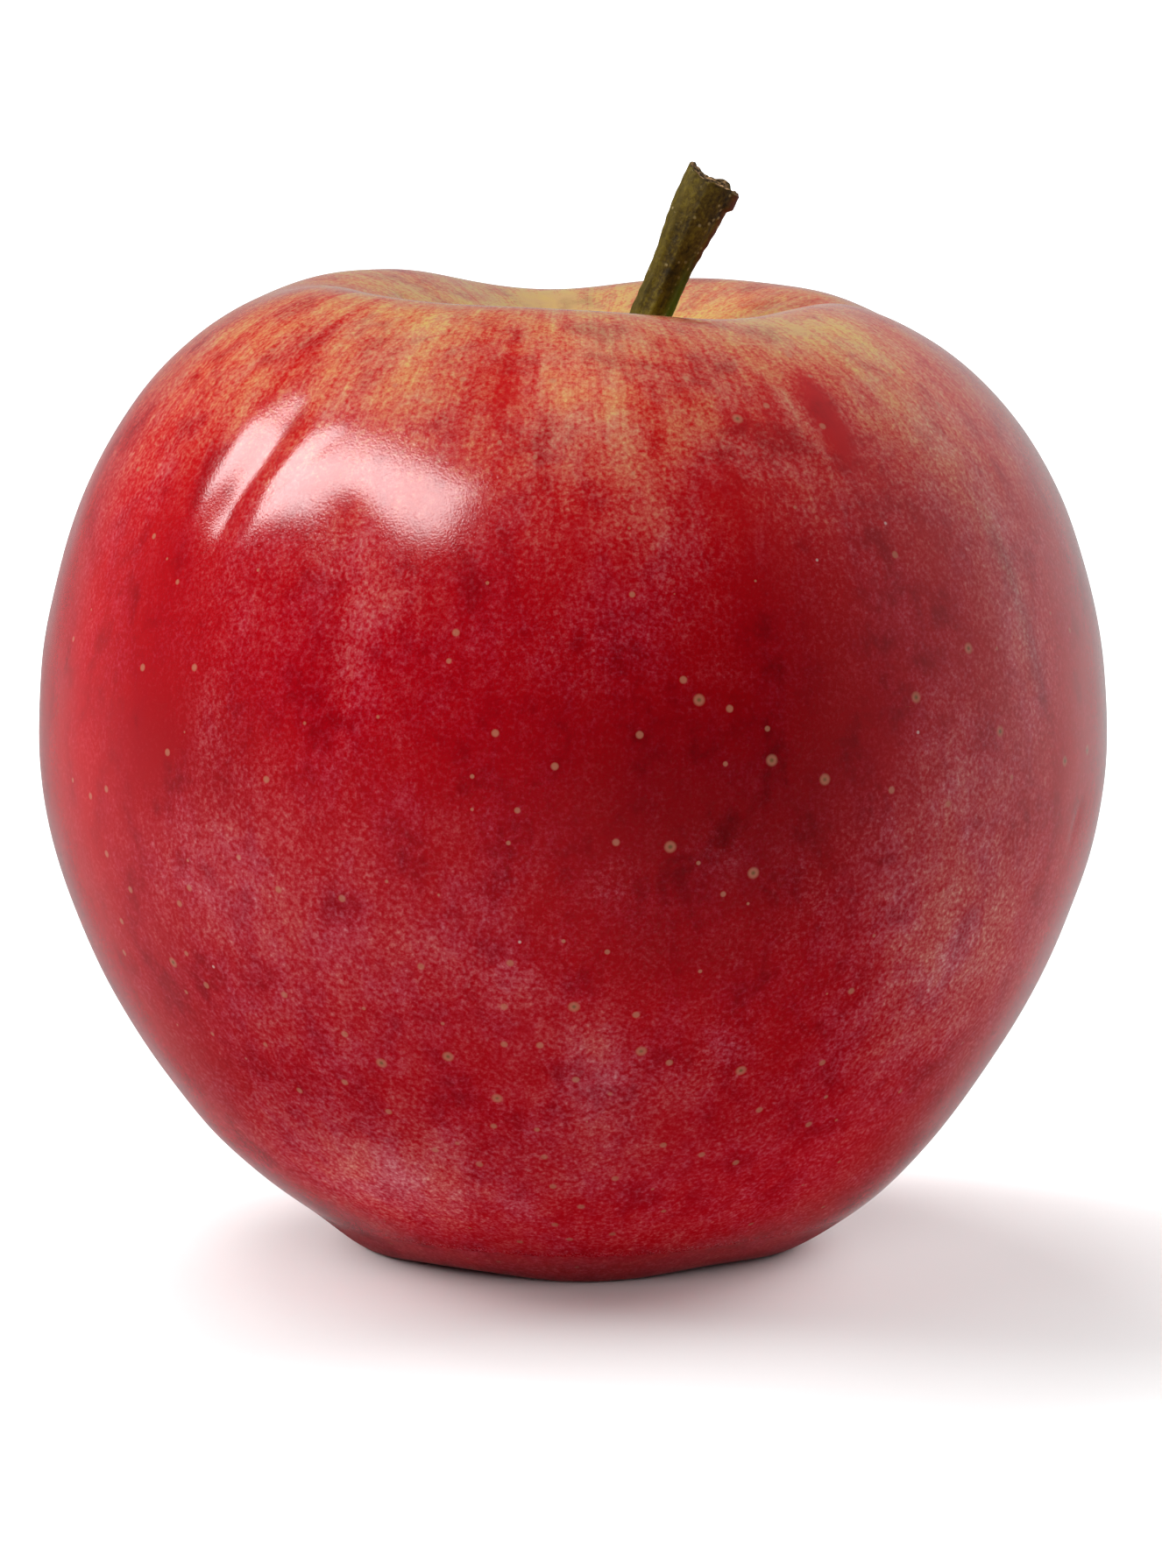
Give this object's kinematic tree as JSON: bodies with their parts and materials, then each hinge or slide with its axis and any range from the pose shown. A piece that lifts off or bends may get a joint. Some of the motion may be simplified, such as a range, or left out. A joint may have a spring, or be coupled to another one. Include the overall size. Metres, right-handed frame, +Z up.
{
  "type": "red apple",
  "caption": "Round red apple with a short stalk leaning out of its top cavity, a dried calyx in its base hollow and low base lobes that it stands on.",
  "frame": {"origin": "on the ground, under the middle of the bounding box", "axes": "+Z up through the fruit, front at -Y, the stalk leans towards +X"},
  "size_m": [0.0796, 0.0796, 0.0805],
  "materials": {
    "apple_skin": "waxy fruit skin, red stripes and speckles over a yellow ground, pale corky dots",
    "stalk_bark": "dry olive-brown bark with a pale torn end",
    "dried_calyx": "dry, matt, woolly sepals"
  },
  "bodies": {
    "root": {"fruit": "apple_skin", "stalk": "stalk_bark", "calyx": "dried_calyx"}
  },
  "joints": []
}
